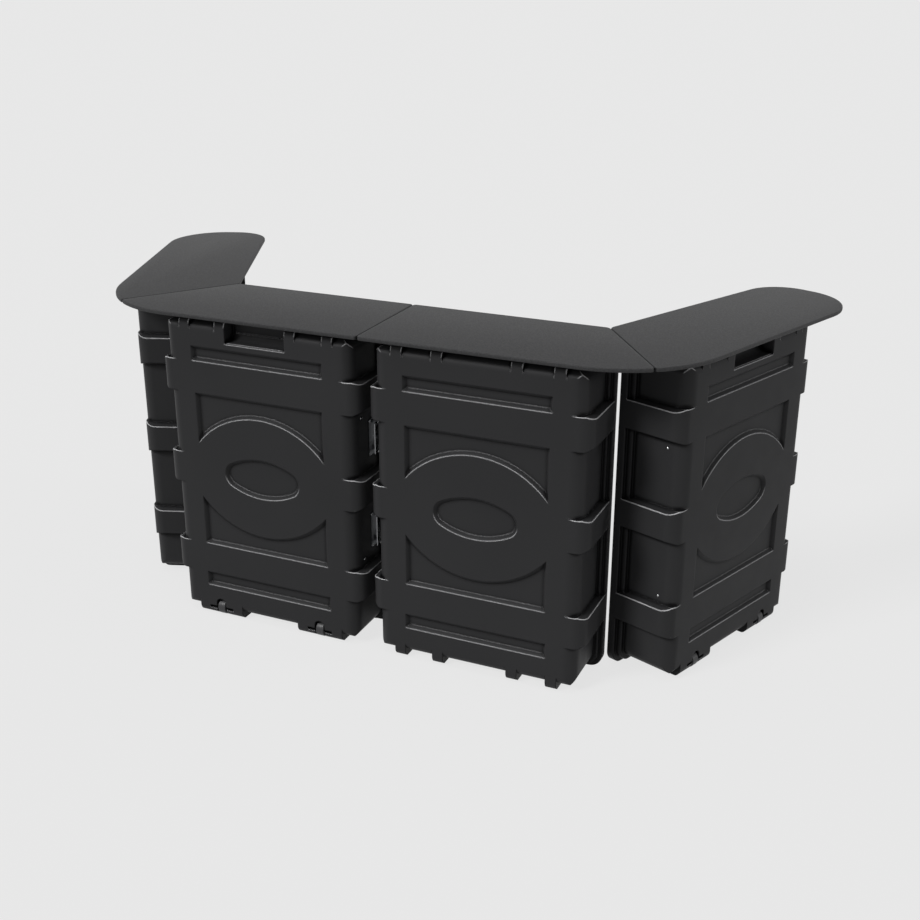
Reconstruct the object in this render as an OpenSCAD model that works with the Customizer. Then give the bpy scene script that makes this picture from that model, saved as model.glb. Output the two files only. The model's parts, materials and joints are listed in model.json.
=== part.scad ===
// Trade show counter: four moulded half cases in a shallow U, each with its own lift-off top.
// Cases are numbered 1 to 4 from the left end, as a customer in front of the counter sees them.
// Cases 1 and 3 stand on foot ribs. Cases 2 and 4 also have wheels, a hand grip and latches.
// A case is drawn with its front face on y = 0, its open back towards +Y and its feet on z = 0.

/* [Layout] */
// Gap between the two front cases
case_gap = 25; // [18:1:94]
// Turn of each wing case away from the front line, in degrees
wing_angle = 69.5; // [62:0.5:78]
// Gap along the front between the back corners of a front case and its wing case
corner_gap_x = 4.5; // [2:0.5:20]
// Gap from front to back between the same two corners
corner_gap_y = 11.5; // [8:0.5:30]

/* [Case shell] */
// Width over the raised bands
case_w = 666; // [640:1:672]
// Depth from the front face to the back rim
case_d = 208; // [200:1:240]
// Height of the ribs that carry the top
case_h = 981; // [950:1:1040]
// Thickness of the moulded wall
wall = 5; // [4:0.5:6]
// Radius of the two upright front corners
corner_r = 40; // [34:1:50]
// Radius of the four corners seen from the front
end_r = 40; // [34:1:50]
// Radius of the top and bottom front edges
edge_r = 30; // [24:1:36]

/* [Bands and rim] */
// How far the bands stand out from the side walls
band_step = 22; // [16:1:24]
// Height of a band
band_h = 100; // [80:1:120]
// Distance between the middles of two bands
band_pitch = 297; // [280:1:310]
// Height of the middle of the middle band
band_mid_z = 497; // [480:1:510]
// Slope at the upper and lower edge of a band
band_bevel = 9; // [4:1:14]
// Length of the back rim at its full width
rim_d = 23; // [18:1:28]
// Length of the lower step in front of the rim
rim_step_d = 19; // [12:1:24]
// Width of the flat face of the rim
rim_face = 12; // [10:0.5:14]
// Width of the seal tongue on the rim
tongue_w = 3.6; // [3:0.1:4.5]
// Height of the seal tongue
tongue_h = 3.5; // [2:0.1:5]

/* [Ribs] */
// Width of a rib
rib_w = 34; // [26:1:40]
// Place of the inner ribs, as a share of half the body's width
rib_inner_share = 0.376; // [0.35:0.005:0.4]
// Place of the outer ribs, as a share of half the body's width
rib_outer_share = 0.765; // [0.74:0.005:0.79]
// Height of a foot rib below the shell
foot_h = 21; // [16:1:26]
// Height of a carrying rib above the shell
top_rib_h = 15; // [13:0.5:20]
// Radius of the front ends of the ribs
rib_edge_r = 27; // [20:1:30]
// Chamfer along the ribs
rib_chamfer = 3; // [1:0.5:5]

/* [Front relief] */
// Depth of the recesses in the front face
relief_d = 10; // [8:0.5:14]
// Width of the sloped border of a recess
relief_bevel = 10; // [6:0.5:12]
// Width of the long upper and lower recesses
strip_w = 439; // [400:1:460]
// Height of the long recesses
strip_h = 46; // [36:1:56]
// Width of the tall middle recess
field_w = 431; // [400:1:450]
// Height of the raised lens across the middle recess
lens_h = 379; // [360:1:400]
// Height of the lens where it meets the sides of the recess
lens_side_h = 174; // [150:1:200]
// Width of the oval recess in the lens
oval_w = 256; // [220:1:280]
// Height of the oval recess
oval_h = 126; // [110:1:140]
// Radius of the two ends of the oval
oval_end_r = 42; // [38:1:46]
// Length by which a long arc of the oval stops before it meets an end arc
oval_arc_stop = 3; // [2:0.5:5]

/* [Hand grip] */
// Height of the grip opening
grip_h = 40; // [34:1:48]
// Depth of the grip pocket
grip_d = 50; // [44:1:60]
// Height of the bar above the opening
grip_bar_h = 15; // [12:1:18]
// Distance of the back of the bar from the front face
grip_bar_d = 33; // [30:1:36]
// Radius of the pocket floor
grip_floor_r = 28; // [20:1:30]
// Slope along the lower lip
grip_lip = 4; // [2:0.5:6]

/* [Wheels] */
// Outer diameter of a wheel
wheel_d = 50; // [46:0.5:52]
// Width of the tread
wheel_w = 26; // [22:1:28]
// Thickness of the tyre
tyre_t = 7; // [6:0.5:8]
// Rounding of the tyre edges
tyre_r = 3; // [1:0.5:3]
// Distance of the axle from the front face
axle_y = 23; // [22:0.5:24]
// Height of the axle above the floor
axle_z = 26.5; // [26:0.5:28]
// Diameter of an axle
axle_d = 6; // [5:0.5:7]
// Length of an axle
axle_l = 84; // [80:1:96]
// Diameter of the hub boss
boss_d = 16; // [12:1:20]
// Gap between an end of the boss and the side of the wheel pocket
boss_gap = 0.5; // [0.3:0.1:1.5]
// Gap between the wheel and its pocket
wheel_gap = 7; // [5:0.5:8]
// Width of a wheel pocket
pocket_w = 34; // [32:1:38]
// Depth of a wheel block from the front face
block_d = 66; // [62:1:80]
// Height of a wheel block
block_h = 66; // [64:1:76]
// Narrowing of the slot throat that holds the axle
throat_step = 0.3; // [0.1:0.1:0.5]
// Slope at the mouth of the axle slot
slot_mouth = 3; // [2:0.5:4]

/* [Latches] */
// Height of a latch plate
plate_h = 112; // [108:1:120]
// Width of a latch plate from front to back
plate_w = 58; // [54:1:60]
// Thickness of the plates and levers
sheet_t = 1.6; // [1:0.1:2]
// Gap between a latch plate and the step of the rim
plate_gap = 7; // [4:0.5:10]
// Distance of the lever pivot from the back edge of the plate
pivot_back = 11; // [9:0.5:13]
// Distance of the lever pivot from the side wall
pivot_out = 12.5; // [12:0.5:13.5]
// Diameter of the pivot pin
pin_d = 4; // [3:0.5:5]
// Width of a lever
lever_w = 93; // [88:1:96]
// Length of the flat of a lever
lever_flat = 18; // [14:1:19]
// Distance from the pivot to the free end of a lever
lever_l = 45; // [43:1:46]
// Distance of the lever flat from its pivot
lever_rise = 6; // [5.5:0.1:7]
// Diameter of the bail wire
wire_d = 4; // [3:0.5:4.5]
// Distance of the bail pivot from the lever pivot, along the lever
bail_back = 14; // [13:0.5:14.5]
// How much nearer the bail pivot is to the wall than the lever pivot
bail_drop = 5; // [4.5:0.1:5.5]
// Width of a bail between the middles of its arms
bail_w = 74; // [68:1:76]
// Gap between the bail and the rim that it crosses
bail_gap = 1.5; // [1:0.1:3]
// Slack of a closed bail behind the lip of its keeper
bail_slack = 0.5; // [0.3:0.1:2]
// Radius of the bends of a bail, to the middle of the wire
bend_r = 6; // [5:0.5:8]

/* [Keepers] */
// Height of a keeper
keeper_h = 60; // [50:1:70]
// Height of the keeper lip above the rim
keeper_lip = 7; // [5:0.5:8]
// Distance of the keeper lip from the rim face
keeper_set = 10; // [9:0.5:11]

/* [Rivets and rails] */
// Diameter of a rivet shank
rivet_d = 4; // [3:0.5:5]
// Diameter of a rivet head
rivet_head_d = 8; // [7:0.5:9]
// Height of a rivet head
rivet_head_h = 1.8; // [1:0.1:2.5]
// Distance of a rail from the round front corner
rail_gap = 3; // [2:0.5:6]
// Distance of a rail rivet from the band that it is next to
rail_rivet_drop = 22; // [16:1:30]
// Width of a rail as a share of the wall from the round corner to a latch plate
rail_share = 0.46; // [0.35:0.01:0.6]
// Width of the rail flange that stands off the wall
rail_leg = 18; // [14:1:24]
// Thickness of a rail
rail_t = 2.5; // [2:0.5:4]

/* [Tops] */
// Thickness of a top
top_t = 12; // [10:0.5:16]
// Overhang of the front tops past the front faces
front_overhang = 27; // [20:1:40]
// Overhang of the front tops past the back rims
back_overhang = 135; // [110:1:150]
// Overhang of the wing tops past the front faces of their cases
wing_overhang = 52; // [40:1:60]
// Overhang of the wing tops past the back rims, at the middle of the case
wing_back_overhang = 96; // [80:1:110]
// Angle by which a wing top narrows towards its far end, in degrees
wing_taper = 4.1; // [0:0.1:6]
// Distance from the middle of a wing case to the far end of its top
wing_reach = 515; // [480:1:540]
// Radius of the outer corner across each mitre
mitre_r = 340; // [280:1:360]
// Radius of the front far corner of a wing top
far_front_r = 178; // [150:1:190]
// Radius of the back far corner of a wing top
far_back_r = 120; // [90:1:130]
// Gap at the joints between two tops
seam_gap = 0.8; // [0.4:0.1:0.9]

/* [Cleats] */
// Clearance between a cleat and the ribs beside it
cleat_gap = 2; // [1:0.5:4]
// Distance of a cleat from the front face of its case
cleat_y = 60; // [50:1:70]
// Thickness of a cleat
cleat_t = 11; // [9:0.5:12]
// Diameter of a cleat screw
screw_d = 4; // [3:0.5:5]
// Diameter of a cleat screw head
screw_head_d = 8; // [7:0.5:9]
// Height of a cleat screw head
screw_head_h = 3; // [2:0.5:4]
// How far a cleat screw goes into the top
screw_bite = 8; // [6:0.5:9]

/* [Hidden] */
$fn = 64;
// Play of a rivet, screw or pin in a plain hole, on the radius
hole_play = 0.1;
// Play of a wheel or lever on its pin, on the radius
run_play = 0.05;
// Overrun of a cut past the surface that it opens
over = 2;

half_w = case_w / 2;
body_half = half_w - band_step;
case_pitch = case_w + case_gap;
rib_inner_x = rib_inner_share * body_half;
rib_outer_x = rib_outer_share * body_half;
body_top = case_h - top_rib_h;
rim_step_half = half_w - band_step / 2;
rim_y = case_d - rim_d;
rim_step_y = rim_y - rim_step_d;
RIBS = [-rib_outer_x, -rib_inner_x, rib_inner_x, rib_outer_x];
BANDS = [for (k = [-1, 0, 1]) band_mid_z + k * band_pitch];
// Heights at the middle of the two walls between bands, upper first
LATCH_Z = [band_mid_z + band_pitch / 2, band_mid_z - band_pitch / 2];
BLOCKS = [-(rib_inner_x + rib_outer_x) / 2, (rib_inner_x + rib_outer_x) / 2];
block_w = rib_outer_x - rib_inner_x + rib_w;
lens_rise = (lens_h - lens_side_h) / 2;
lens_r = (pow(field_w / 2, 2) + pow(lens_rise, 2)) / (2 * lens_rise);
oval_end_x = oval_w / 2 - oval_end_r;
// Radius of the long arcs of the oval, from their tangency with the end arcs
oval_arc_r = (pow(oval_end_x, 2) + pow(oval_h / 2, 2) - pow(oval_end_r, 2)) / (oval_h - 2 * oval_end_r);
grip_half = rib_inner_x - rib_w / 2;
grip_top = body_top - grip_bar_h;
grip_bottom = grip_top - grip_h;
tongue_half = half_w - rim_face / 2;

plate_y1 = rim_step_y - plate_gap;
plate_y0 = plate_y1 - plate_w;
rail_w = rail_share * (plate_y0 - corner_r);
rail_y = corner_r + rail_gap + rail_w / 2;
pivot_x = body_half + pivot_out;
pivot_y = plate_y1 - pivot_back;
bail_x = pivot_x - bail_drop;
bail_y = pivot_y - bail_back;
bail_over_x = half_w + bail_gap + wire_d / 2;
bail_bend_y = rim_y - wire_d;
bail_end_y = case_d + keeper_set + bail_slack + wire_d / 2;
// Direction and length of the sloped part of a bail arm
bail_slope = atan2(bail_bend_y - bail_y, bail_over_x - bail_x);
bail_arm_l = norm([bail_bend_y - bail_y, bail_over_x - bail_x]);
ear_z = bail_w / 2 + wire_d / 2 + 2 * sheet_t;
cheek_z = lever_w / 2 - sheet_t;
rivet_inset = rivet_head_d / 2 + sheet_t / 2;

rail_z0 = BANDS[0] + band_h / 2 + wall;
rail_z1 = BANDS[2] - band_h / 2 - wall;
RAIL_RIVETS = [rail_z0 - wall + rail_rivet_drop, rail_z1 + wall - rail_rivet_drop];

cleat_w = rib_outer_x - rib_inner_x - rib_w - 2 * cleat_gap;
cleat_l = rim_step_y - cleat_gap - cleat_y;

wing_x = case_pitch / 2 + half_w + corner_gap_x + half_w * cos(wing_angle) + case_d * sin(wing_angle);
wing_y = case_d + corner_gap_y + half_w * sin(wing_angle) - case_d * cos(wing_angle);

// Points of the right wing, from case measures to the floor plan
function at_wing(p) = [wing_x + p[0] * cos(wing_angle) - p[1] * sin(wing_angle),
                       wing_y + p[0] * sin(wing_angle) + p[1] * cos(wing_angle)];
// Back edge of a wing top at the distance u along its case
function wing_back(u) = case_d + wing_back_overhang - u * tan(wing_taper);
// Crossing of the line through a towards b with the level line y = level
function at_level(a, b, level) = a + (b - a) * (level - a[1]) / (b[1] - a[1]);
function unit(v) = v / norm(v);

top_back_y = case_d + back_overhang;
// Outer and inner end of the right mitre
mitre_out = at_level(at_wing([0, -wing_overhang]), at_wing([half_w, -wing_overhang]), -front_overhang);
mitre_in = at_level(at_wing([0, wing_back(0)]), at_wing([half_w, wing_back(half_w)]), top_back_y);
far_front = at_wing([wing_reach, -wing_overhang]);
far_back = at_wing([wing_reach, wing_back(wing_reach)]);

// Middle of the whole plan from front to back
function corner_centre(p, a, b, r) =
    p + unit(unit(a - p) + unit(b - p)) * r / sin(acos(unit(a - p) * unit(b - p)) / 2);
plan_y1 = corner_centre(far_back, far_front, mitre_in, far_back_r)[1] + far_back_r;
plan_mid_y = (plan_y1 - front_overhang) / 2;

// A box between two corners given as ranges
module box(x, y, z)
    translate([x[0], y[0], z[0]]) cube([x[1] - x[0], y[1] - y[0], z[1] - z[0]]);

// A rectangle between ranges
module bar(x, y)
    translate([x[0], y[0]]) square([x[1] - x[0], y[1] - y[0]]);

// Extrude an outline drawn in x and z from y[0] to y[1]
module along_y(y)
    translate([0, y[1], 0]) rotate([90, 0, 0]) linear_extrude(y[1] - y[0]) children();

// Extrude an outline drawn in y and z from x[0] to x[1]
module along_x(x)
    translate([x[0], 0, 0]) rotate([90, 0, 90]) linear_extrude(x[1] - x[0]) children();

// A round bar along X with its middle at the origin
module rod_x(d, l)
    rotate([0, 90, 0]) cylinder(d = d, h = l, center = true);

// Plan of a case: rounded front corners, square back corners
module case_plan(half, y, r) {
    bar([-half, half], [y[0] + r, y[1]]);
    bar([r - half, half - r], y);
    for (s = [-1, 1]) translate([s * (half - r), y[0] + r]) circle(r = r);
}

// Front view of a case: all four corners rounded
module case_front(half, z, r) {
    bar([-half, half], [z[0] + r, z[1] - r]);
    bar([r - half, half - r], z);
    for (s = [-1, 1], c = [z[0] + r, z[1] - r]) translate([s * (half - r), c]) circle(r = r);
}

// Side view of a case: both front edges rounded
module case_side(y, z, r) {
    bar([y[0] + r, y[1]], z);
    bar(y, [z[0] + r, z[1] - r]);
    for (c = [z[0] + r, z[1] - r]) translate([y[0] + r, c]) circle(r = r);
}

// Plain body of a case, rounded in all three views
module case_body() {
    z = [foot_h, body_top];
    intersection() {
        linear_extrude(case_h) case_plan(body_half, [0, case_d], corner_r);
        along_y([0, case_d]) case_front(body_half, z, end_r);
        along_x([-half_w, half_w]) case_side([0, case_d], z, edge_r);
    }
}

// Front view of one band with sloped ends, each side moved inwards by g
module band_front(z, g) {
    near = g * norm([band_bevel, band_step]) / band_step;
    far = near + band_bevel * (band_step - g) / band_step;
    x = half_w - g;
    polygon([
        [-body_half, z[0] + near], [body_half, z[0] + near], [x, z[0] + far], [x, z[1] - far],
        [body_half, z[1] - near], [-body_half, z[1] - near], [-x, z[1] - far], [-x, z[0] + far]
    ]);
}

// The three bands, with their walls moved inwards by g and their ends on the planes y
module bands(y, g) {
    intersection() {
        linear_extrude(case_h) case_plan(half_w - g, y, corner_r - g);
        along_y([0, case_d]) for (c = BANDS) band_front([c - band_h / 2, c + band_h / 2], g);
    }
}

// The back rim and the lower step in front of it
module rim() {
    along_y([rim_step_y, case_d])
        case_front(rim_step_half, [foot_h / 2, case_h - top_rib_h / 2], end_r);
    along_y([rim_y, case_d]) case_front(half_w, [0, case_h], end_r);
}

// Upright slabs whose ends show as foot ribs and carrying ribs
module ribs() {
    h = rib_w / 2;
    c = rib_chamfer;
    intersection() {
        along_y([0, case_d]) for (x = RIBS) translate([x, 0]) polygon([
            [-h, c], [c - h, 0], [h - c, 0], [h, c],
            [h, case_h - c], [h - c, case_h], [c - h, case_h], [-h, case_h - c]
        ]);
        along_x([-half_w, half_w]) case_side([0, case_d], [0, case_h], rib_edge_r);
    }
}

// Recess with sloped borders, grown by g, from the front face inwards
module recess(half, z, g) {
    b = relief_bevel * (relief_d + over) / relief_d - relief_bevel;
    y1 = relief_d + g;
    k = relief_bevel * g / relief_d;
    intersection() {
        linear_extrude(case_h) polygon([
            [-half - g - b, -over], [half + g + b, -over],
            [half + g - relief_bevel - k, y1], [relief_bevel + k - half - g, y1]
        ]);
        along_x([-half_w, half_w]) polygon([
            [-over, z[0] - g - b], [-over, z[1] + g + b],
            [y1, z[1] + g - relief_bevel - k], [y1, z[0] - g + relief_bevel + k]
        ]);
    }
}

// Cone or cylinder along Y, radius r0 at the front face and changing by the border slope
module sloped_disc(r0, g, sign) {
    y1 = relief_d + g;
    slope = sign * relief_bevel / relief_d;
    translate([0, -over, 0]) rotate([-90, 0, 0])
        cylinder(r1 = r0 - slope * over, r2 = r0 + slope * y1, h = over + y1);
}

// Raised lens that stays at the level of the front face
module lens(g) {
    intersection_for (s = [-1, 1])
        translate([0, 0, band_mid_z + s * (lens_r - lens_h / 2)]) sloped_disc(lens_r - g, g, 1);
}

// Oval recess: two end arcs joined by two long arcs, which stop just before they touch
module oval(g) {
    d = oval_arc_r - oval_h / 2;
    turn = atan(oval_end_x / d) - asin(oval_arc_stop / oval_arc_r);
    far = oval_arc_r + g + over;
    low = d - oval_h / 4;
    translate([0, 0, band_mid_z]) {
        for (s = [-1, 1]) translate([s * oval_end_x, 0, 0]) sloped_disc(oval_end_r + g, g, -1);
        for (m = [0, 1]) mirror([0, 0, m]) intersection() {
            translate([0, 0, -d]) sloped_disc(oval_arc_r + g, g, -1);
            along_y([-2 * over, relief_d + wall + over]) polygon([
                [-low * tan(turn), low - d], [low * tan(turn), low - d],
                [far * tan(turn), far - d], [-far * tan(turn), far - d]
            ]);
        }
    }
}

// All recesses of the front face, grown by g
module relief(g) {
    strip = strip_w / 2;
    z0 = BANDS[0] - band_h / 2;
    z1 = BANDS[2] + band_h / 2;
    recess(strip, [z1, z1 + strip_h], g);
    recess(strip, [z0 - strip_h, z0], g);
    difference() {
        recess(field_w / 2, [z0 + band_h, z1 - band_h], g);
        lens(g);
    }
    oval(g);
}

// Side view of the grip pocket: mouth, round floor and the way up behind the bar
module grip_side(g) {
    r = grip_floor_r;
    y = grip_d + g;
    z = grip_bottom - g;
    polygon([
        [-over, z - grip_lip], [0, z - grip_lip], [grip_lip, z], [grip_lip, grip_top], [-over, grip_top]
    ]);
    bar([0, y - r], [z, grip_top + g]);
    bar([0, y], [z + r, grip_top + g]);
    translate([y - r, z + r]) circle(r = r);
    bar([grip_bar_d - g, y], [grip_top - grip_h / 2, case_h]);
}

module grip_cut()
    along_x([-grip_half, grip_half]) grip_side(0);

// Solid around the grip pocket
module grip_housing()
    box([-grip_half - wall, grip_half + wall], [0, grip_d + wall],
        [grip_bottom - grip_lip - wall, body_top]);

// Blocks that carry the wheels, at the bottom front edge
module wheel_blocks() {
    for (x = BLOCKS) intersection() {
        box([x - block_w / 2 + rib_chamfer, x + block_w / 2 - rib_chamfer], [0, block_d], [0, block_h]);
        along_x([-half_w, half_w]) case_side([0, case_d], [0, case_h], rib_edge_r);
    }
}

// Arched wheel pocket, open to the front and below
module wheel_pocket() {
    r = wheel_d / 2 + wheel_gap;
    h = pocket_w / 2;
    intersection() {
        union() {
            translate([0, axle_y, axle_z]) rod_x(2 * r, pocket_w);
            box([-h, h], [-over, axle_y], [-over, axle_z + r]);
            box([-h, h], [-over, axle_y + r], [-over, axle_z]);
        }
        along_y([-2 * over, axle_y + r + over]) {
            bar([-h, h], [-2 * over, axle_z + r - h]);
            translate([0, axle_z + r - h]) circle(r = h);
        }
    }
}

// Slot for the axle: sloped mouth, narrow throat and round seat
module axle_slot() {
    h = axle_d / 2 - throat_step;
    l = axle_l / 2 + hole_play;
    translate([0, 0, axle_z]) along_x([-l, l]) {
        polygon([[-over, -h - slot_mouth], [0, -h - slot_mouth], [slot_mouth, -h],
                 [slot_mouth, h], [0, h + slot_mouth], [-over, h + slot_mouth]]);
        bar([0, axle_y], [-h, h]);
    }
    translate([0, axle_y, axle_z]) rod_x(axle_d + 2 * hole_play, 2 * l);
}

// Hollow of the case, following the bands, the rim and the ribs
module hollow() {
    r = corner_r - wall;
    y = [wall, case_d + over];
    h = rib_w / 2 - wall;
    z = [foot_h + wall, body_top - wall];
    intersection() {
        linear_extrude(case_h) case_plan(body_half - wall, y, r);
        along_y([0, case_d + over]) case_front(body_half - wall, z, end_r - wall);
        along_x([-half_w, half_w]) case_side(y, z, edge_r - wall);
    }
    bands([wall, case_d - 2 * wall], wall);
    along_y([rim_y + wall, case_d + over])
        case_front(half_w - rim_face, [wall + foot_h / 2, case_h - wall - top_rib_h / 2], end_r - rim_face);
    for (x = RIBS) {
        box([x - h, x + h], [rib_edge_r, case_d - rim_d], [wall, foot_h + 2 * wall]);
        box([x - h, x + h], [rib_edge_r, case_d - rim_d], [body_top - 2 * wall, case_h - wall]);
    }
}

// Ring along the rim for the seal
module seal_ring(y, w) {
    z = rim_face / 2;
    r = end_r - rim_face / 2;
    along_y(y) difference() {
        case_front(tongue_half + w / 2, [z - w / 2, case_h - z + w / 2], r + w / 2);
        case_front(tongue_half - w / 2, [z + w / 2, case_h - z - w / 2], r - w / 2);
    }
}

// Shell of a plain case
module plain_shell() {
    color("#232427") difference() {
        union() {
            case_body();
            bands([0, case_d], 0);
            rim();
            ribs();
            seal_ring([case_d - wall, case_d + tongue_h], tongue_w);
        }
        relief(0);
        difference() {
            hollow();
            relief(wall);
        }
        for (z = LATCH_Z, s = [-1, 1]) keeper_rivet_at(z, s) rivet_hole();
    }
}

// Shell of a case with grip, wheels and latches
module wheeled_shell() {
    color("#232427") difference() {
        union() {
            case_body();
            bands([0, case_d], 0);
            rim();
            ribs();
            wheel_blocks();
        }
        relief(0);
        difference() {
            hollow();
            relief(wall);
            grip_housing();
            wheel_blocks();
        }
        grip_cut();
        for (x = BLOCKS) translate([x, 0, 0]) {
            wheel_pocket();
            axle_slot();
        }
        seal_ring([case_d - tongue_h - hole_play, case_d + over], tongue_w + 2 * hole_play);
        for (z = LATCH_Z) latch_rivets_at(z) rivet_hole();
        for (s = [-1, 1]) rail_rivets_at(s) rivet_hole();
    }
}

// Rivet with its head outside on x = 0 and its shank towards -X
module rivet(grip) {
    color("#c8c9cb") rotate([0, 90, 0]) {
        cylinder(d1 = rivet_head_d, d2 = rivet_d, h = rivet_head_h);
        translate([0, 0, -grip]) cylinder(d = rivet_d, h = grip);
    }
}

// Set head of a rivet behind the wall that it grips
module set_head(grip)
    color("#c8c9cb") translate([-grip - rivet_head_h / 2, 0, 0]) rotate([0, 90, 0])
        cylinder(d = rivet_head_d - rivet_d / 2, h = rivet_head_h / 2);

module through_rivet(grip) {
    rivet(grip);
    set_head(grip);
}

module rivet_hole()
    rod_x(rivet_d + 2 * hole_play, 4 * wall);

// Places of the four rivets of the latch at height z, on the right side wall
module latch_rivets_at(z) {
    for (y = [plate_y0 + rivet_inset, plate_y1 - rivet_inset], s = [-1, 1])
        translate([body_half + sheet_t, y, z + s * (plate_h / 2 - rivet_inset)]) children();
}

// Places of the rail rivets on the side wall s, outside facing +X for s = 1
module rail_rivets_at(s) {
    for (z = RAIL_RIVETS) translate([s * body_half, rail_y, z]) mirror([s < 0 ? 1 : 0, 0, 0]) children();
}

// Place of one keeper rivet on the left rim
module keeper_rivet_at(z, s) {
    translate([-half_w - sheet_t, rim_y + (rim_d - keeper_set) / 2, z + s * keeper_h / 4])
        mirror([1, 0, 0]) children();
}

module axle()
    color("#8d8f93") translate([0, axle_y, axle_z]) rod_x(axle_d, axle_l);

module hub() {
    r = wheel_d / 2 - tyre_t;
    w = pocket_w / 2 - boss_gap;
    color("#3a3b3e") translate([0, axle_y, axle_z]) rotate([0, 90, 0]) difference() {
        union() {
            cylinder(r = r, h = wheel_w - 2 * tyre_r, center = true);
            cylinder(d = boss_d, h = 2 * w, center = true);
        }
        cylinder(d = axle_d + 2 * run_play, h = 2 * w + over, center = true);
    }
}

module tyre() {
    r = wheel_d / 2;
    h = wheel_w / 2;
    color("#17181a") translate([0, axle_y, axle_z]) rotate([0, 90, 0]) rotate_extrude() {
        bar([r - tyre_t, r - tyre_r], [-h, h]);
        bar([r - tyre_t, r], [tyre_r - h, h - tyre_r]);
        for (s = [-1, 1]) translate([r - tyre_r, s * (h - tyre_r)]) circle(r = tyre_r);
    }
}

// Plate of a latch with two ears for the pivot pin
module latch_plate(z) {
    color("#b9bbbe") translate([body_half, 0, z]) difference() {
        union() {
            box([0, sheet_t], [plate_y0, plate_y1], [-plate_h / 2, plate_h / 2]);
            for (s = [-1, 1]) translate([0, 0, s * (ear_z - sheet_t / 2)]) ear();
        }
        translate([-body_half, 0, -z]) latch_rivets_at(z) rivet_hole();
        translate([pivot_out, pivot_y, 0]) cylinder(d = pin_d + 2 * hole_play, h = plate_h, center = true);
    }
}

// One ear: a strip from the plate to a round end about the pivot
module ear() {
    linear_extrude(sheet_t, center = true) {
        bar([0, pivot_out], [pivot_y - pin_d, pivot_y + pin_d]);
        translate([pivot_out, pivot_y]) circle(r = pin_d);
    }
}

// Two short pins, each through an ear of the plate and a cheek of the lever
module latch_pins(z) {
    z0 = ear_z - sheet_t;
    color("#8d8f93") for (s = [0, 1]) translate([pivot_x, pivot_y, z]) mirror([0, 0, s])
        translate([0, 0, z0]) cylinder(d = pin_d, h = lever_w / 2 + sheet_t / 2 - z0);
}

// Side view of a cheek, from the free end of the lever to its two pivots
module cheek(y0, x1) {
    polygon([
        [x1, y0], [x1, y0 + lever_flat], [pin_d, pivot_y], [-pin_d, pivot_y],
        [-bail_drop - wire_d, bail_y], [lever_rise, y0]
    ]);
    translate([0, pivot_y]) circle(r = pin_d);
    translate([-bail_drop, bail_y]) circle(r = wire_d);
}

// Lever: a flat with a curled end, and two cheeks that turn on the pins
module latch_lever(z) {
    y0 = pivot_y - lever_l;
    x1 = lever_rise + sheet_t;
    color("#c8c9cb") translate([pivot_x, 0, z]) difference() {
        union() {
            box([lever_rise, x1], [y0, y0 + lever_flat], [-lever_w / 2, lever_w / 2]);
            translate([x1 - sheet_t / 2, y0, 0]) cylinder(r = sheet_t, h = lever_w, center = true);
            for (s = [-1, 1]) translate([0, 0, s * (cheek_z + sheet_t / 2)])
                linear_extrude(sheet_t, center = true) cheek(y0, x1);
        }
        translate([0, pivot_y, 0]) cylinder(d = pin_d + 2 * run_play, h = plate_h, center = true);
        translate([-bail_drop, bail_y, 0]) cylinder(d = wire_d + 2 * run_play, h = plate_h, center = true);
    }
}

// Quarter bend of a wire about Z, starting on +X
module bend()
    rotate_extrude(angle = 90) translate([bend_r, 0]) circle(d = wire_d);

// Upper half of a bail, from its pivot in the cheek to the middle of the hook
module half_bail() {
    h = bail_w / 2;
    // Pivot end and the bend below it
    translate([bail_x, bail_y, h + bend_r])
        cylinder(d = wire_d, h = lever_w / 2 + sheet_t - h - bend_r);
    translate([bail_x, bail_y, h]) rotate([0, 0, bail_slope]) {
        translate([bend_r, 0, bend_r]) rotate([90, 0, 0]) rotate([0, 0, 180]) bend();
        translate([bend_r, 0, 0]) rotate([0, 90, 0])
            cylinder(d = wire_d, h = bail_arm_l - bend_r + wire_d / 4);
    }
    // Straight stretch over the rim, the bend to the hook and half the hook
    translate([bail_over_x, bail_bend_y - wire_d / 4, h]) rotate([-90, 0, 0])
        cylinder(d = wire_d, h = bail_end_y - bend_r - bail_bend_y + wire_d / 4);
    translate([bail_over_x, bail_end_y - bend_r, h - bend_r]) rotate([0, -90, 0]) bend();
    translate([bail_over_x, bail_end_y, 0]) cylinder(d = wire_d, h = h - bend_r);
}

// Bail: a wire loop that turns in the cheeks and hooks behind a keeper
module latch_bail(z)
    color("#c8c9cb") translate([0, 0, z]) for (s = [0, 1]) mirror([0, 0, s]) half_bail();

// Keeper on the left rim of a plain case: a foot and a lip that the bail hooks behind
module keeper(z) {
    y1 = case_d - keeper_set;
    color("#b9bbbe") translate([-half_w, 0, z]) difference() {
        union() {
            box([-sheet_t, 0], [rim_y, y1], [-keeper_h / 2, keeper_h / 2]);
            box([-keeper_lip, 0], [y1 - sheet_t, y1], [-keeper_h / 2, keeper_h / 2]);
        }
        translate([half_w, 0, -z]) for (s = [-1, 1]) keeper_rivet_at(z, s) rivet_hole();
    }
}

// Upright angle rail inside the side wall s
module rail(s) {
    x = body_half - wall;
    color("#a9abad") mirror([s < 0 ? 1 : 0, 0, 0]) difference() {
        union() {
            box([x - rail_t, x], [rail_y - rail_w / 2, rail_y + rail_w / 2], [rail_z0, rail_z1]);
            box([x - rail_leg, x], [rail_y + rail_w / 2 - rail_t, rail_y + rail_w / 2], [rail_z0, rail_z1]);
        }
        rail_rivets_at(1) rivet_hole();
    }
}

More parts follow.
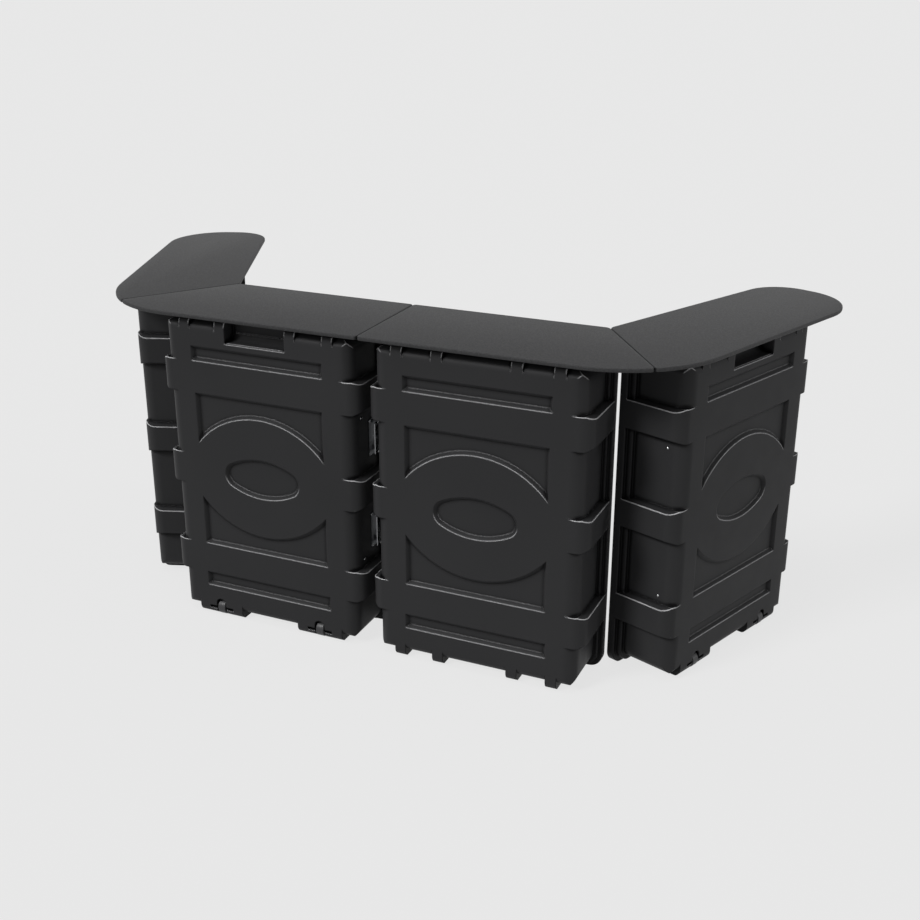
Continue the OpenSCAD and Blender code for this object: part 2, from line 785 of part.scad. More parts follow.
// Cut that rounds the corner p of an outline between the points a and b
module round_off(p, a, b, r) {
    da = unit(a - p);
    db = unit(b - p);
    l = r / tan(acos(da * db) / 2);
    m = corner_centre(p, a, b, r);
    oa = unit(p + da * l - m) * over;
    ob = unit(p + db * l - m) * over;
    difference() {
        polygon([p + da * l, p + da * l + oa, p + oa + ob, p + db * l + ob, p + db * l, m]);
        translate(m) circle(r = r);
    }
}

// Plan of the gap along the right mitre
module mitre_gap() {
    v = unit(mitre_out - mitre_in);
    n = [-v[1], v[0]] * seam_gap / 2;
    a = mitre_in - v * front_overhang;
    b = mitre_out + v * front_overhang;
    polygon([a + n, b + n, b - n, a - n]);
}

// Plan of the right front top
module front_top_plan() {
    difference() {
        polygon([[seam_gap / 2, -front_overhang], mitre_out, mitre_in, [seam_gap / 2, top_back_y]]);
        round_off(mitre_out, [0, -front_overhang], far_front, mitre_r);
        mitre_gap();
    }
}

// Plan of the right wing top
module wing_top_plan() {
    difference() {
        polygon([mitre_out, far_front, far_back, mitre_in]);
        round_off(mitre_out, [0, -front_overhang], far_front, mitre_r);
        round_off(far_front, mitre_out, far_back, far_front_r);
        round_off(far_back, far_front, mitre_in, far_back_r);
        mitre_gap();
    }
}

// Places of the cleat screws in a case
module screws_at() {
    for (s = [-1, 1], y = [cleat_y + cleat_l / 6, cleat_y + cleat_l * 5 / 6])
        translate([s * (rib_inner_x + rib_outer_x) / 2, y, case_h - cleat_t]) children();
}

module cleat_screw() {
    color("#8d8f93") {
        cylinder(d = screw_head_d, h = screw_head_h);
        cylinder(d = screw_d, h = cleat_t + screw_bite);
    }
}

module screw_hole() {
    translate([0, 0, -over]) cylinder(d = screw_head_d + 2 * hole_play, h = screw_head_h + over);
    cylinder(d = screw_d + 2 * hole_play, h = cleat_t + screw_bite);
}

// Two cleats that drop between the ribs of a case
module cleats() {
    color("#5b5148") difference() {
        for (s = [-1, 1]) translate([s * (rib_inner_x + rib_outer_x) / 2, 0, 0])
            box([-cleat_w / 2, cleat_w / 2], [cleat_y, cleat_y + cleat_l], [case_h - cleat_t, case_h]);
        screws_at() screw_hole();
    }
}

// Put a case or its pieces in place, and the middle of the plan on the origin
module in_case(n) {
    side = n < 3 ? -1 : 1;
    wing = n == 1 || n == 4;
    translate([side * (wing ? wing_x : case_pitch / 2), (wing ? wing_y : 0) - plan_mid_y, 0])
        rotate([0, 0, wing ? side * wing_angle : 0]) children();
}

// A top with its screw holes
module top(n) {
    color("#3b3c3f") difference() {
        translate([0, -plan_mid_y, case_h]) mirror([n < 3 ? 1 : 0, 0, 0]) linear_extrude(top_t)
            if (n == 1 || n == 4) wing_top_plan(); else front_top_plan();
        in_case(n) screws_at() screw_hole();
    }
}

module at_block(n, k)
    in_case(n) translate([BLOCKS[k], 0, 0]) children();

module latch_rivets(n)
    in_case(n) for (z = LATCH_Z) latch_rivets_at(z) through_rivet(wall + sheet_t);

module rail_rivets(n)
    in_case(n) for (s = [-1, 1]) rail_rivets_at(s) through_rivet(wall + rail_t);

module keeper_rivets(n)
    in_case(n) for (z = LATCH_Z, s = [-1, 1]) keeper_rivet_at(z, s) rivet(wall + sheet_t);

in_case(1) plain_shell();  // shell_1
in_case(2) wheeled_shell();  // shell_2
in_case(3) plain_shell();  // shell_3
in_case(4) wheeled_shell();  // shell_4
top(1);  // top_1
top(2);  // top_2
top(3);  // top_3
top(4);  // top_4
in_case(1) cleats();  // cleats_1
in_case(2) cleats();  // cleats_2
in_case(3) cleats();  // cleats_3
in_case(4) cleats();  // cleats_4
in_case(1) screws_at() cleat_screw();  // cleat_screws_1
in_case(2) screws_at() cleat_screw();  // cleat_screws_2
in_case(3) screws_at() cleat_screw();  // cleat_screws_3
in_case(4) screws_at() cleat_screw();  // cleat_screws_4
at_block(2, 0) axle();  // axle_2a
at_block(2, 1) axle();  // axle_2b
at_block(4, 0) axle();  // axle_4a
at_block(4, 1) axle();  // axle_4b
at_block(2, 0) hub();  // hub_2a
at_block(2, 1) hub();  // hub_2b
at_block(4, 0) hub();  // hub_4a
at_block(4, 1) hub();  // hub_4b
at_block(2, 0) tyre();  // tyre_2a
at_block(2, 1) tyre();  // tyre_2b
at_block(4, 0) tyre();  // tyre_4a
at_block(4, 1) tyre();  // tyre_4b
in_case(2) latch_plate(LATCH_Z[0]);  // latch_plate_2a
in_case(2) latch_plate(LATCH_Z[1]);  // latch_plate_2b
in_case(4) latch_plate(LATCH_Z[0]);  // latch_plate_4a
in_case(4) latch_plate(LATCH_Z[1]);  // latch_plate_4b
in_case(2) latch_pins(LATCH_Z[0]);  // latch_pins_2a
in_case(2) latch_pins(LATCH_Z[1]);  // latch_pins_2b
in_case(4) latch_pins(LATCH_Z[0]);  // latch_pins_4a
in_case(4) latch_pins(LATCH_Z[1]);  // latch_pins_4b
in_case(2) latch_lever(LATCH_Z[0]);  // latch_lever_2a
in_case(2) latch_lever(LATCH_Z[1]);  // latch_lever_2b
in_case(4) latch_lever(LATCH_Z[0]);  // latch_lever_4a
in_case(4) latch_lever(LATCH_Z[1]);  // latch_lever_4b
in_case(2) latch_bail(LATCH_Z[0]);  // latch_bail_2a
in_case(2) latch_bail(LATCH_Z[1]);  // latch_bail_2b
in_case(4) latch_bail(LATCH_Z[0]);  // latch_bail_4a
in_case(4) latch_bail(LATCH_Z[1]);  // latch_bail_4b
latch_rivets(2);  // latch_rivets_2
latch_rivets(4);  // latch_rivets_4
in_case(1) keeper(LATCH_Z[0]);  // keeper_1a
in_case(1) keeper(LATCH_Z[1]);  // keeper_1b
in_case(3) keeper(LATCH_Z[0]);  // keeper_3a
in_case(3) keeper(LATCH_Z[1]);  // keeper_3b
keeper_rivets(1);  // keeper_rivets_1
keeper_rivets(3);  // keeper_rivets_3
in_case(2) rail(-1);  // rail_2a
in_case(2) rail(1);  // rail_2b
in_case(4) rail(-1);  // rail_4a
in_case(4) rail(1);  // rail_4b
rail_rivets(2);  // rail_rivets_2
rail_rivets(4);  // rail_rivets_4
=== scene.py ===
# %% [markdown]
# A trade show counter is built from four upright moulded half cases, each with its own thin board
# on top. The exact solids come packed as a frame, and this lesson gives them their looks: soft
# moulded edges, grained plastic, laminate, chrome latches and domed rivets. Everything is in metres.

# %% Load the frame
import json
import math

import bmesh
import bpy
from mathutils import Matrix, Vector


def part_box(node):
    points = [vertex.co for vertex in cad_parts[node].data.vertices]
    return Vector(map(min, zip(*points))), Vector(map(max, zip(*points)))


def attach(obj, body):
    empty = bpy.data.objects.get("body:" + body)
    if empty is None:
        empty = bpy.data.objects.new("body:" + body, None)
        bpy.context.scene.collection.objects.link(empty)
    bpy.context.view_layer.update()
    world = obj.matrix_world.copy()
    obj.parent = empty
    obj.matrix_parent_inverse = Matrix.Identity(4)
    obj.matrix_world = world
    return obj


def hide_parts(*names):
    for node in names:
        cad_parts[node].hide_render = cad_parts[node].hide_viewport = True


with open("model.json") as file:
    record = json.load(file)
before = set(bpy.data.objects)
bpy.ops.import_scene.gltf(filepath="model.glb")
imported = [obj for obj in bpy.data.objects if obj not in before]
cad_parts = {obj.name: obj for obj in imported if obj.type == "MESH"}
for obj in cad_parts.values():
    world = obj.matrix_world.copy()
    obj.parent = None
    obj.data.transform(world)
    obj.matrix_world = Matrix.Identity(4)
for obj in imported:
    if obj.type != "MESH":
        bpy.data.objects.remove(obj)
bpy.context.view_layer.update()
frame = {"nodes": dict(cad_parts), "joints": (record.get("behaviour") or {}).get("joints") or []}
MM = 0.001

# %% [markdown]
# The camera comes first, because every choice below is judged through it. Its place and lens were
# solved from the photograph, so they are real sizes: it stands 3.5 m in front of the origin, 1.6 m
# to the right of it and 2 m above the floor, and looks down and to the left.

# %% Camera
CAMERA_PLACE = Vector((1620.7, -3518.3, 2000.7)) * MM
CAMERA_AZIMUTH, CAMERA_ELEVATION, CAMERA_ROLL = 23.54, 21.95, 0.16
CAMERA_LENS, CAMERA_SENSOR = 50.62, 36.0


def looking_from(azimuth, elevation, roll=0.0):
    """Turn of a camera or lamp that looks at the object from that side."""
    a, e = math.radians(azimuth), math.radians(elevation)
    back = Vector((math.sin(a) * math.cos(e), -math.cos(a) * math.cos(e), math.sin(e)))
    turn = (-back).to_track_quat("-Z", "Y").to_matrix().to_4x4()
    return turn @ Matrix.Rotation(math.radians(roll), 4, "Z")


camera_data = bpy.data.cameras.new("camera")
camera_data.lens, camera_data.sensor_width = CAMERA_LENS, CAMERA_SENSOR
camera = bpy.data.objects.new("camera", camera_data)
bpy.context.scene.collection.objects.link(camera)
camera.matrix_world = Matrix.Translation(CAMERA_PLACE) @ looking_from(
    CAMERA_AZIMUTH, CAMERA_ELEVATION, CAMERA_ROLL)
bpy.context.scene.camera = camera
bpy.context.scene.view_settings.view_transform = "Standard"
print("camera at", [round(v, 3) for v in camera.location], "lens", CAMERA_LENS)

# %% [markdown]
# Materials are node trees, and every tree here is written with the same small helper. It adds one
# node, sets its settings, and fills its inputs with numbers, colours, links or other nodes. Colours
# are given as the hex values that a paint program shows, and one function turns them to linear light.

# %% Helpers for node trees
# Most values of a noise lie between these two
NOISE_LOW, NOISE_HIGH = 0.3, 0.7
# The Mix node has inputs of one name for several kinds of value, so those for colours go by number
SHARE, FIRST, SECOND = 0, 6, 7


def linear(hex_value):
    """Linear colour of an sRGB hex value such as #2b2c2e."""
    parts = [int(hex_value[i:i + 2], 16) / 255 for i in (1, 3, 5)]
    return tuple(c / 12.92 if c <= 0.04045 else ((c + 0.055) / 1.055) ** 2.4 for c in parts) + (1.0,)


def fill(node, inputs):
    """Gives each named input a value, a link, or the first active output of another node."""
    for name, value in inputs.items():
        if isinstance(value, bpy.types.Node):
            value = next(output for output in value.outputs if output.enabled)
        if isinstance(value, bpy.types.NodeSocket):
            node.id_data.links.new(value, node.inputs[name])
        else:
            node.inputs[name].default_value = value


def add(tree, kind, inputs=None, stops=(), **settings):
    """Adds a node, sets its settings and a ramp's (position, level) stops, and fills its inputs."""
    node = tree.nodes.new(kind)
    for name, value in settings.items():
        setattr(node, name, value)
    for i, (position, level) in enumerate(stops):
        node.color_ramp.elements[i].position = position
        node.color_ramp.elements[i].color = (level, level, level, 1.0)
    fill(node, inputs or {})
    return node


def new_material(name):
    """An empty material with a Principled shader, its tree, and its Object coordinates."""
    material = bpy.data.materials.new(name)
    material.use_nodes = True
    tree = material.node_tree
    tree.nodes.clear()
    shader = add(tree, "ShaderNodeBsdfPrincipled")
    add(tree, "ShaderNodeOutputMaterial", {"Surface": shader})
    coordinates = add(tree, "ShaderNodeTexCoord").outputs["Object"]
    return material, tree, shader, coordinates


def per(size_mm):
    """The scale at which a pattern's blobs are about size_mm across."""
    return 1 / (size_mm * MM)


def layered(tree, ground, *layers):
    """The ground's colour with each layer, a (share, colour) pair, laid over what is under it."""
    colour = linear(ground)
    for share, layer in layers:
        colour = add(tree, "ShaderNodeMix", {SHARE: share, FIRST: colour, SECOND: linear(layer)},
                     data_type="RGBA")
    return colour


print("helpers ready")

# %% [markdown]
# The shells are polyethylene, moulded against a grained steel mould. That gives a charcoal skin
# with a fine pebble grain about a millimetre across, which is too fine to show from 4 m, so it is
# drawn three times as coarse. Lips that look up get a pale painted highlight, and creases and the
# edges that look down get painted shade. A Bevel node gives the direction that a rounded edge would
# have, and where it differs from the true one there is an edge.

# %% Moulded polyethylene
GRAIN_MM, MOTTLE_MM, FLOW_MM, EDGE_MM, CREASE_MM = 3.0, 60.0, 420.0, 6.0, 14.0
GRAIN_DEPTH_MM, SKIN_SPECULAR, BEVEL_SAMPLES, SKIN_SKY_SAMPLES = 0.12, 0.08, 8, 8
# How far an edge, a crease's painted shade or a lip's painted highlight shows: an edge by the cosine
# between its rounded direction and its true one, a crease and a lip by their share of open sky
EDGE_STOPS = ((0.90, 1.0), (0.997, 0.0))
PAINTED_CREASE_SHADE_STOPS = ((0.78, 1.0), (0.97, 0.0))
LIP_STOPS = ((0.85, 0.0), (0.96, 1.0))
# The painted highlight begins where a surface looks up this much, and painted shade where it looks down as
# much
SLOPE_STOPS = ((0.03, 0.0), (0.25, 1.0))
SKIN_ROUGHNESS = ((NOISE_LOW, 0.50), (NOISE_HIGH, 0.44))


def edges_of(tree):
    """The surface's direction with every edge rounded off, and a mask that is 1 on such edges."""
    soft = add(tree, "ShaderNodeBevel", {"Radius": EDGE_MM * MM}, samples=BEVEL_SAMPLES)
    true = add(tree, "ShaderNodeNewGeometry").outputs["Normal"]
    cosine = add(tree, "ShaderNodeVectorMath", {0: soft, 1: true}, operation="DOT_PRODUCT")
    return soft, add(tree, "ShaderNodeValToRGB", {"Fac": cosine}, stops=EDGE_STOPS)


def painted_highlight_and_shade(tree, soft, edge, sky):
    """Masks of the painted highlight on lips that look up, and of painted shade on edges that look down."""
    up = add(tree, "ShaderNodeSeparateXYZ", {"Vector": soft}).outputs["Z"]
    down = add(tree, "ShaderNodeMath", {0: up, 1: -1.0}, operation="MULTIPLY")
    open_to_sky = add(tree, "ShaderNodeValToRGB", {"Fac": sky}, stops=LIP_STOPS)
    upward = add(tree, "ShaderNodeValToRGB", {"Fac": up}, stops=SLOPE_STOPS)
    downward = add(tree, "ShaderNodeValToRGB", {"Fac": down}, stops=SLOPE_STOPS)
    lip = add(tree, "ShaderNodeMath", {0: edge, 1: open_to_sky}, operation="MULTIPLY")
    # Pale paint on lips that look up stands in for a highlight, and dark paint on edges that look down for
    # shade
    painted_highlight = add(tree, "ShaderNodeMath", {0: lip, 1: upward}, operation="MULTIPLY")
    return painted_highlight, add(tree, "ShaderNodeMath", {0: edge, 1: downward}, operation="MULTIPLY")


def make_moulded_polyethylene():
    material, tree, shader, at = new_material("moulded_polyethylene_charcoal")
    soft, edge = edges_of(tree)
    sky = add(tree, "ShaderNodeAmbientOcclusion", {"Distance": CREASE_MM * MM},
              samples=SKIN_SKY_SAMPLES).outputs["AO"]
    painted_highlight, shade = painted_highlight_and_shade(tree, soft, edge, sky)
    # Painted shade: where a crease has little open sky, the colour is darkened
    painted_crease_shade = add(tree, "ShaderNodeValToRGB", {"Fac": sky}, stops=PAINTED_CREASE_SHADE_STOPS)
    flow = add(tree, "ShaderNodeTexNoise", {"Vector": at, "Scale": per(FLOW_MM)})
    # Over the skin's tone go painted shade in creases and on edges that look down, and a pale painted
    # highlight on lips that look up
    colour = layered(tree, "#2c2c2d", (flow, "#333334"), (painted_crease_shade, "#0a0a0b"), (shade, "#111112"),
                     (painted_highlight, "#d6d6d8"))
    mottle = add(tree, "ShaderNodeTexNoise", {"Vector": at, "Scale": per(MOTTLE_MM), "Detail": 4.0})
    grain = add(tree, "ShaderNodeTexNoise", {
        "Vector": at, "Scale": per(GRAIN_MM), "Detail": 3.0, "Roughness": 0.6})
    fill(shader, {
        "Base Color": colour,
        "Roughness": add(tree, "ShaderNodeValToRGB", {"Fac": mottle}, stops=SKIN_ROUGHNESS),
        "Normal": add(tree, "ShaderNodeBump", {
            "Height": grain, "Distance": GRAIN_DEPTH_MM * MM, "Strength": 0.5, "Normal": soft}),
        "Specular IOR Level": SKIN_SPECULAR,
    })
    return material


moulded_polyethylene = make_moulded_polyethylene()
print("made", moulded_polyethylene.name)

# %% [markdown]
# The tops are thin boards with a charcoal laminate, pressed with a sand-like texture. Each fleck is
# under a millimetre, so it is also drawn coarser. The seams where two boards meet are darkened with
# painted shade.

# %% Charcoal laminate
FLECK_MM, CLOUD_MM, SEAM_MM = 4.0, 300.0, 12.0
FLECK_DEPTH_MM, BOARD_SPECULAR, BOARD_SKY_SAMPLES = 0.15, 0.28, 6
FLECK_STOPS = ((0.42, 0.0), (0.75, 1.0))
PAINTED_SEAM_SHADE_STOPS = ((0.80, 1.0), (0.97, 0.0))
BOARD_ROUGHNESS = ((NOISE_LOW, 0.64), (NOISE_HIGH, 0.55))


def make_charcoal_laminate():
    material, tree, shader, at = new_material("charcoal_laminate_sand_pressed")
    fleck = add(tree, "ShaderNodeTexNoise", {
        "Vector": at, "Scale": per(FLECK_MM), "Detail": 3.0, "Roughness": 0.7})
    cloud = add(tree, "ShaderNodeTexNoise", {"Vector": at, "Scale": per(CLOUD_MM)})
    flecked = add(tree, "ShaderNodeValToRGB", {"Fac": fleck}, stops=FLECK_STOPS)
    sky = add(tree, "ShaderNodeAmbientOcclusion", {"Distance": SEAM_MM * MM},
              samples=BOARD_SKY_SAMPLES).outputs["AO"]
    # Painted shade: where a seam between two boards has little open sky, the colour is darkened
    painted_seam_shade = add(tree, "ShaderNodeValToRGB", {"Fac": sky}, stops=PAINTED_SEAM_SHADE_STOPS)
    fill(shader, {
        "Base Color": layered(tree, "#252526", (cloud, "#2c2c2d"), (flecked, "#3c3c3d"), (painted_seam_shade, "#0c0c0d")),
        "Roughness": add(tree, "ShaderNodeValToRGB", {"Fac": fleck}, stops=BOARD_ROUGHNESS),
        "Normal": add(tree, "ShaderNodeBump", {
            "Height": fleck, "Distance": FLECK_DEPTH_MM * MM, "Strength": 0.5}),
        "Specular IOR Level": BOARD_SPECULAR,
    })
    return material


charcoal_laminate = make_charcoal_laminate()
print("made", charcoal_laminate.name)

# %% [markdown]
# Metals keep the default IOR, and their colour is the colour of their reflection. Chrome is nearly
# a mirror with faint rubbing, zinc plate is cloudier, and drawn steel or mill aluminium carries the
# fine lines of the die or the rolls, which run one way.

# %% Metals
LINE_DEPTH_MM = 0.02
# Scaled down along one axis, a pattern is drawn out along it
ALONG_X, ALONG_Z = (0.2, 1, 1), (1, 1, 0.05)


def make_metal(name, dull, bright, smooth, rough, size_mm, stretch=(1, 1, 1), depth_mm=0.0):
    """A metal whose colour and roughness wander together, along lines where it is stretched."""
    material, tree, shader, at = new_material(name)
    along = add(tree, "ShaderNodeMapping", {"Vector": at, "Scale": stretch})
    lines = add(tree, "ShaderNodeTexNoise", {
        "Vector": along, "Scale": per(size_mm), "Detail": 4.0, "Roughness": 0.6})
    fill(shader, {
        "Base Color": layered(tree, dull, (lines, bright)),
        "Roughness": add(tree, "ShaderNodeValToRGB", {"Fac": lines},
                         stops=((NOISE_LOW, smooth), (NOISE_HIGH, rough))),
        "Metallic": 1.0,
    })
    if depth_mm:
        fill(shader, {"Normal": add(tree, "ShaderNodeBump", {
            "Height": lines, "Distance": depth_mm * MM, "Strength": 0.4})})
    return material


bright_chrome = make_metal(
    "chrome_plate_polished", "#c4c6ca", "#e4e5e8", smooth=0.10, rough=0.22, size_mm=12.0)
zinc_plate = make_metal(
    "zinc_plated_sheet_steel", "#4c4e51", "#74767a", smooth=0.26, rough=0.42, size_mm=9.0)
rivet_steel = make_metal(
    "bright_rivet_steel", "#c9cbce", "#eceded", smooth=0.16, rough=0.30, size_mm=5.0)
drawn_steel = make_metal(
    "drawn_steel_rod", "#77797d", "#9b9da0", smooth=0.25, rough=0.42, size_mm=3.0,
    stretch=ALONG_X, depth_mm=LINE_DEPTH_MM)
mill_aluminium = make_metal(
    "mill_finish_aluminium", "#a2a4a6", "#bcbdbf", smooth=0.32, rough=0.48, size_mm=4.0,
    stretch=ALONG_Z, depth_mm=LINE_DEPTH_MM)
print("made", [m.name for m in (bright_chrome, zinc_plate, rivet_steel, drawn_steel, mill_aluminium)])

# %% [markdown]
# The cleats under the tops are bare plywood: pale veneers with a dark glue line between each two,
# and long fibres along the face. A wave across the thickness draws the glue. The wheels are a nylon
# hub and a rubber tyre, both dull and scuffed, so one function makes them.

# %% Plywood, nylon and rubber
FIBRE_MM, SCUFF_MM, FIBRE_DEPTH_MM, DULL_SPECULAR = 2.0, 14.0, 0.1, 0.35
ALONG_Y = (1, 0.06, 1)
# The wave texture turns 20 radians per unit of length at a scale of 1. Here it takes 2.2 mm for a
# radian, so a whole wave, from one glue line to the next, is 13.8 mm long
RADIAN_MM, RADIANS_PER_UNIT = 2.2, 20
GLUE_STOPS = ((0.04, 1.0), (0.16, 0.0))
PLY_ROUGHNESS = ((NOISE_LOW, 0.62), (NOISE_HIGH, 0.78))


def make_plywood():
    material, tree, shader, at = new_material("bare_birch_plywood")
    along = add(tree, "ShaderNodeMapping", {"Vector": at, "Scale": ALONG_Y})
    fibre = add(tree, "ShaderNodeTexNoise", {
        "Vector": along, "Scale": per(FIBRE_MM), "Detail": 5.0, "Roughness": 0.65})
    waves = add(tree, "ShaderNodeTexWave", {
        "Vector": at, "Scale": per(RADIAN_MM) / RADIANS_PER_UNIT, "Distortion": 0.4, "Detail": 2.0,
    }, wave_type="BANDS", bands_direction="Z").outputs["Fac"]
    glue = add(tree, "ShaderNodeValToRGB", {"Fac": waves}, stops=GLUE_STOPS)
    fill(shader, {
        "Base Color": layered(tree, "#8d6f4d", (fibre, "#b8966b"), (glue, "#55402b")),
        "Roughness": add(tree, "ShaderNodeValToRGB", {"Fac": fibre}, stops=PLY_ROUGHNESS),
        "Normal": add(tree, "ShaderNodeBump", {
            "Height": fibre, "Distance": FIBRE_DEPTH_MM * MM, "Strength": 0.5}),
    })
    return material


def make_dull_mould(name, dark, pale, smooth, rough, grain_mm, depth_mm):
    """Dull moulded rubber or nylon with a scuffed, grained skin."""
    material, tree, shader, at = new_material(name)
    scuff = add(tree, "ShaderNodeTexNoise", {
        "Vector": at, "Scale": per(SCUFF_MM), "Detail": 5.0, "Roughness": 0.65})
    grain = add(tree, "ShaderNodeTexNoise", {"Vector": at, "Scale": per(grain_mm)})
    fill(shader, {
        "Base Color": layered(tree, dark, (scuff, pale)),
        "Roughness": add(tree, "ShaderNodeValToRGB", {"Fac": scuff},
                         stops=((NOISE_LOW, smooth), (NOISE_HIGH, rough))),
        "Normal": add(tree, "ShaderNodeBump", {
            "Height": grain, "Distance": depth_mm * MM, "Strength": 0.5}),
        "Specular IOR Level": DULL_SPECULAR,
    })
    return material


birch_plywood = make_plywood()
hub_nylon = make_dull_mould(
    "moulded_nylon_black", "#1e1f20", "#2e2f31", smooth=0.38, rough=0.55, grain_mm=2.0, depth_mm=0.05)
tyre_rubber = make_dull_mould(
    "moulded_rubber_black", "#2a2a2b", "#3e3e40", smooth=0.36, rough=0.52, grain_mm=1.5, depth_mm=0.10)
print("made", [m.name for m in (birch_plywood, hub_nylon, tyre_rubber)])

# %% [markdown]
# Each piece has to follow its case. The frame says where the cases stand: the cleats of a case lie
# evenly about its middle, and a wheel's axle runs along its width. From those two facts comes one
# matrix for each case, which takes it from its own measures to its place in the counter.

# %% Places of the four cases
axle_axis = next(j["axis"] for j in frame["joints"] if j["name"] == "wheel_4a_spin")
wing_turn = math.atan2(axle_axis[1], axle_axis[0])


def middle(node):
    low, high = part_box(node)
    return (low + high) / 2


cleat_y = middle("cleats_3").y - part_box("shell_3")[0].y


def case_place(number):
    """Matrix from a case's own measures to the counter, for case 1, 2, 3 or 4."""
    turn = Matrix.Rotation({1: -wing_turn, 4: wing_turn}.get(number, 0.0), 4, "Z")
    centre = middle(f"cleats_{number}")
    step = turn @ Vector((0, cleat_y, 0))
    return Matrix.Translation((centre.x - step.x, centre.y - step.y, 0)) @ turn


print("wing turn", round(math.degrees(wing_turn), 2), "degrees")

# %% [markdown]
# A new piece is a mesh object at the origin that rides on a body, stands for its CAD nodes and has
# a material. One function does all of that, so that no piece can miss a step.

# %% Finish a piece
WELD_MM = 0.01


def object_of(name, mesh):
    piece = bpy.data.objects.new(name, mesh)
    bpy.context.scene.collection.objects.link(piece)
    return piece


def finish_piece(piece, body, material, nodes):
    piece.data.materials.clear()
    piece.data.materials.append(material)
    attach(piece, body)
    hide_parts(*nodes)


def applied(piece):
    """The piece's mesh with all its modifiers, as a plain mesh; the piece itself is removed."""
    depsgraph = bpy.context.evaluated_depsgraph_get()
    mesh = bpy.data.meshes.new_from_object(piece.evaluated_get(depsgraph), depsgraph=depsgraph)
    bpy.data.objects.remove(piece)
    return mesh


def merged_copy(node, place=None):
    """A welded copy of a CAD node's mesh, moved by the matrix place."""
    mesh = frame["nodes"][node].data.copy()
    mesh.materials.clear()
    if place is not None:
        mesh.transform(place)
    tool = bmesh.new()
    tool.from_mesh(mesh)
    bmesh.ops.remove_doubles(tool, verts=tool.verts, dist=WELD_MM * MM)
    tool.to_mesh(mesh)
    tool.free()
    # The stored corner normals belong to the loose triangles, so they go
    if "custom_normal" in mesh.attributes:
        mesh.attributes.remove(mesh.attributes["custom_normal"])
    mesh.shade_smooth()
    return mesh


print("ready to make pieces")

# %% [markdown]
# Moulded plastic flows round every corner of its mould. The shells keep their exact solids, whose
# large curves are already right. A bevel of the mesh tears where four slopes meet in a recess, so
# the small rounding is in the material: it turns the shading of each edge, as a real radius does.
# Shallow steps between the faces of a curve are shaded smooth, and only real edges stay crisp.

# %% Moulded shells
CREASE_DEGREES = 22


def make_shell(number):
    skin = object_of(f"moulded_shell_{number}", merged_copy(f"shell_{number}"))
    skin.data.set_sharp_from_angle(angle=math.radians(CREASE_DEGREES))
    finish_piece(skin, "cases", moulded_polyethylene, [f"shell_{number}"])
    return skin


shells = [make_shell(number) for number in (1, 2, 3, 4)]
print("shells:", [len(s.data.polygons) for s in shells])

# %% [markdown]
# A counter top is a plain board whose edges are only just broken. Its outline is read from the
# solid's upper face and drawn again as one clean face. Its corners at the seams are rounded off, and
# then it is given its thickness and bevelled all round.

# %% Boards with broken edges
EDGE_ROUND_MM, EDGE_STEPS, CORNER_MM, CURVE_STEPS = 3.5, 3, 13.0, 6
# Turns of the outline that count as corners, edges that are bevelled, and edges that stay crisp
SHARP_DEGREES, BEVEL_DEGREES, BOARD_CREASE_DEGREES = 30, 40, 25
FLAT_MM = 0.1


def upper_outline(node):
    """The points round the upper face of a board, in order."""
    tool = bmesh.new()
    tool.from_mesh(merged_copy(node))
    top = max(v.co.z for v in tool.verts)
    flat = {f for f in tool.faces if all(v.co.z > top - FLAT_MM * MM for v in f.verts)}
    rim = [e for e in tool.edges if len(flat.intersection(e.link_faces)) == 1]
    step = {}
    for edge in rim:
        face = next(f for f in edge.link_faces if f in flat)
        loop = next(l for l in face.loops if l.edge == edge)
        step[loop.vert.index] = loop.link_loop_next.vert.index
    order = [next(iter(step))]
    while step[order[-1]] != order[0]:
        order.append(step[order[-1]])
    tool.verts.ensure_lookup_table()
    points = [tool.verts[i].co.copy() for i in order]
    tool.free()
    return points


def walked(points, start, way, left):
    """The place left metres along the outline from a corner, and the last point before it."""
    i, here = start, points[start]
    while True:
        following = points[(i + way) % len(points)]
        step = (following - here).length
        if step > left:
            return here.lerp(following, left / step), i
        left, here, i = left - step, following, i + way


def corners_rounded(points, reach):
    """The outline with each sharp corner drawn as a curve that starts and ends reach away from it."""
    count = len(points)
    curve_at, dropped = {}, set()
    for i, corner in enumerate(points):
        before, after = corner - points[i - 1], points[(i + 1) % count] - corner
        if before.angle(after) > math.radians(SHARP_DEGREES):
            (a, first), (b, last) = walked(points, i, -1, reach), walked(points, i, 1, reach)
            dropped.update(j % count for j in range(first, last + 1))
            shares = [k / CURVE_STEPS for k in range(CURVE_STEPS + 1)]
            curve_at[i] = [a * (1 - t) ** 2 + corner * 2 * t * (1 - t) + b * t ** 2 for t in shares]
    return [p for i, point in enumerate(points)
            for p in curve_at.get(i, [] if i in dropped else [point])]


def make_board(number):
    node = f"top_{number}"
    low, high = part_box(node)
    tool = bmesh.new()
    outline = corners_rounded(upper_outline(node), CORNER_MM * MM)
    upper = tool.faces.new([tool.verts.new(p) for p in outline])
    lower = bmesh.ops.extrude_face_region(tool, geom=[upper])["geom"]
    for vertex in (v for v in lower if isinstance(v, bmesh.types.BMVert)):
        vertex.co.z -= high.z - low.z
    bmesh.ops.recalc_face_normals(tool, faces=tool.faces)
    mesh = bpy.data.meshes.new(node)
    tool.to_mesh(mesh)
    tool.free()
    piece = object_of("board", mesh)
    rounding = piece.modifiers.new("rounding", "BEVEL")
    rounding.width, rounding.segments = EDGE_ROUND_MM * MM, EDGE_STEPS
    rounding.limit_method, rounding.angle_limit = "ANGLE", math.radians(BEVEL_DEGREES)
    board = object_of(f"counter_board_{number}", applied(piece))
    board.data.shade_smooth()
    board.data.set_sharp_from_angle(angle=math.radians(BOARD_CREASE_DEGREES))
    finish_piece(board, f"top_{number}", charcoal_laminate, [node])
    return board


